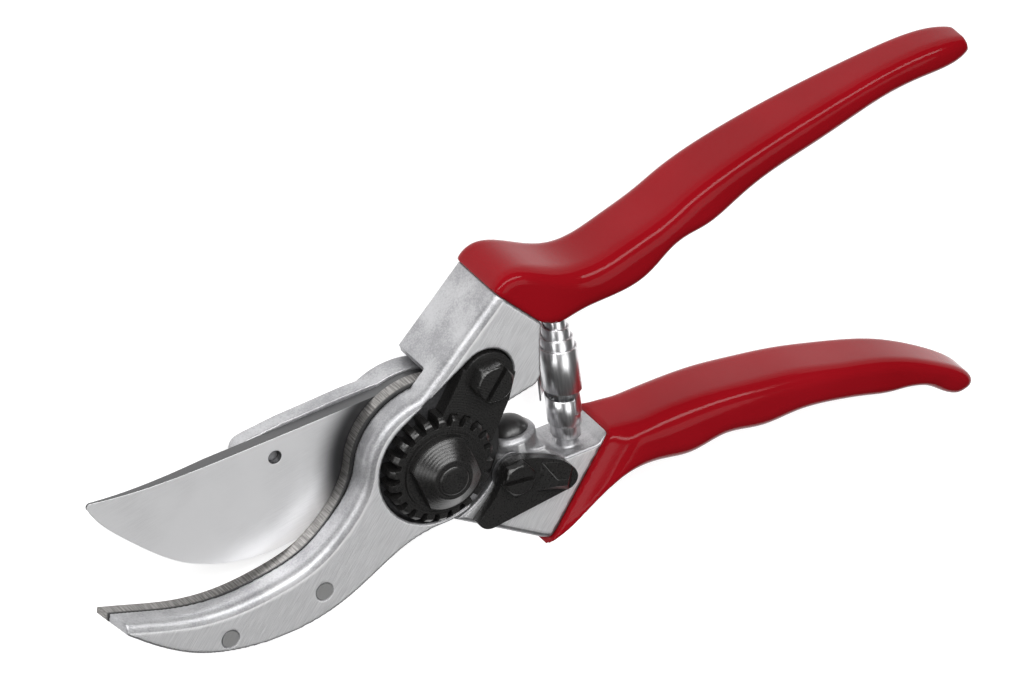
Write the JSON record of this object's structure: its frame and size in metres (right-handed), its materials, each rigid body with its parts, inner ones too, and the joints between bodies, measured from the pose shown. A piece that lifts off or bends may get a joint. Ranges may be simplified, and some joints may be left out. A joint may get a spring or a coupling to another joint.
{
  "type": "pruning shears",
  "caption": "One-hand bypass pruning shears with a hooked counter-blade, red coated handles, an adjustable toothed pivot nut, a volute spring and a thumb catch.",
  "frame": {"origin": "on the pivot axis, in the plane of the pivot bolt's flat back end, which is the plane that the shears lie on", "axes": "+Z along the pivot axis from the bolt's head to the nut, +X from the pivot towards the ends of the handles, +Y from the blade handle towards the hook handle"},
  "size_m": [0.2119, 0.0844, 0.0269],
  "materials": {
    "forged_aluminium": "blasted casting with a ground front face",
    "counter_blade_steel": "cross-ground dark steel",
    "rivet_steel": "ground flush",
    "blade_steel": "satin ground",
    "black_oxide": "satin black oxide",
    "red_coating": "glossy dipped vinyl",
    "bumper_rubber": "smooth moulded rubber",
    "screw_steel": "plain steel",
    "spring_chrome": "bright plated spring strip"
  },
  "bodies": {
    "hook_side": {"hook_handle": "forged_aluminium", "counter_blade": "counter_blade_steel", "counter_blade_rivets": "rivet_steel", "pivot_bolt": "black_oxide", "toothed_nut": "black_oxide", "toothed_segment": "black_oxide", "segment_screw": "black_oxide", "hook_grip": "red_coating", "spring_upper_strip": "spring_chrome", "spring_lower_strip": "spring_chrome"},
    "blade_side": {"blade_handle": "forged_aluminium", "blade_grip": "red_coating", "cutting_blade": "blade_steel", "blade_screw": "screw_steel", "bumper": "bumper_rubber", "catch_screw": "black_oxide", "catch_spring_washer": "screw_steel"},
    "catch": {"thumb_catch": "black_oxide"}
  },
  "joints": [
    {"name": "blade_pivot", "type": "hinge", "parent": "hook_side", "child": "blade_side", "pos_m": [0, 0, 0.0099], "axis": [0, 0, 1], "range_deg": [0, 22.5], "stiffness_Nm_per_rad": 1.8, "springref_deg": -16.04, "deforming": ["spring_upper_strip", "spring_lower_strip"]},
    {"name": "catch_turn", "type": "hinge", "parent": "blade_side", "child": "catch", "pos_m": [0.0178, -0.0113, 0.0149], "axis": [0, 0, -1], "range_deg": [0, 20]}
  ]
}
